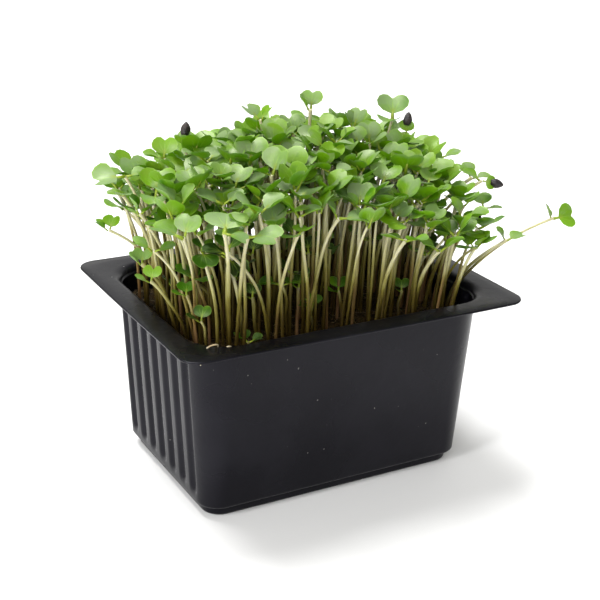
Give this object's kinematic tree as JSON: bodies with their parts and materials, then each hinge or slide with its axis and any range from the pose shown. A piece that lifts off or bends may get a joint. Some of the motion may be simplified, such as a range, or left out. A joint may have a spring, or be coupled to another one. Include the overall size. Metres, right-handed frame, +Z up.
{
  "type": "potted broccoli cress",
  "caption": "Potted cress: a dense stand of pale-stemmed sprouts with notched green seed leaves, in dark peaty medium, in a small black tapered tray with a wide flat rim.",
  "frame": {"origin": "centre of the flat underside of the tray's foot, on the surface that it stands on", "axes": "+Z up, +X along the tray's length, -Y towards its smooth front wall"},
  "size_m": [0.1306, 0.0812, 0.0985],
  "materials": {
    "tray_plastic": "glossy thermoformed sheet",
    "medium": "matte, moist peat and fibre",
    "sprout": "smooth waxy leaf",
    "hull": "dry seed hull"
  },
  "bodies": {
    "root": {"tray": "tray_plastic", "growing_medium": "medium", "sprout_clump_01": "sprout", "sprout_clump_02": "sprout", "sprout_clump_03": "sprout", "sprout_clump_04": "sprout", "sprout_clump_05": "sprout", "sprout_clump_06": "sprout", "sprout_clump_07": "sprout", "sprout_clump_08": "sprout", "sprout_clump_09": "sprout", "sprout_clump_10": "sprout", "sprout_clump_11": "sprout", "sprout_clump_12": "sprout", "sprout_clump_13": "sprout", "sprout_clump_14": "sprout", "sprout_clump_15": "sprout", "sprout_clump_16": "sprout", "sprout_clump_17": "sprout", "sprout_clump_18": "sprout", "sprout_clump_19": "sprout", "sprout_clump_20": "sprout", "sprout_clump_21": "sprout", "sprout_clump_22": "sprout", "sprout_clump_23": "sprout", "sprout_clump_24": "sprout", "sprout_clump_25": "sprout", "sprout_clump_26": "sprout", "sprout_clump_27": "sprout", "sprout_clump_28": "sprout", "sprout_clump_29": "sprout", "sprout_clump_30": "sprout", "sprout_clump_31": "sprout", "sprout_clump_32": "sprout", "sprout_clump_33": "sprout", "sprout_clump_34": "sprout", "sprout_clump_35": "sprout", "sprout_clump_36": "sprout", "sprout_clump_37": "sprout", "sprout_clump_38": "sprout", "sprout_clump_39": "sprout", "sprout_clump_40": "sprout", "sprout_clump_41": "sprout", "sprout_clump_42": "sprout", "sprout_clump_43": "sprout", "seed_hull_1": "hull", "seed_hull_2": "hull", "seed_hull_3": "hull", "seed_hull_4": "hull", "seed_hull_5": "hull"}
  },
  "joints": []
}
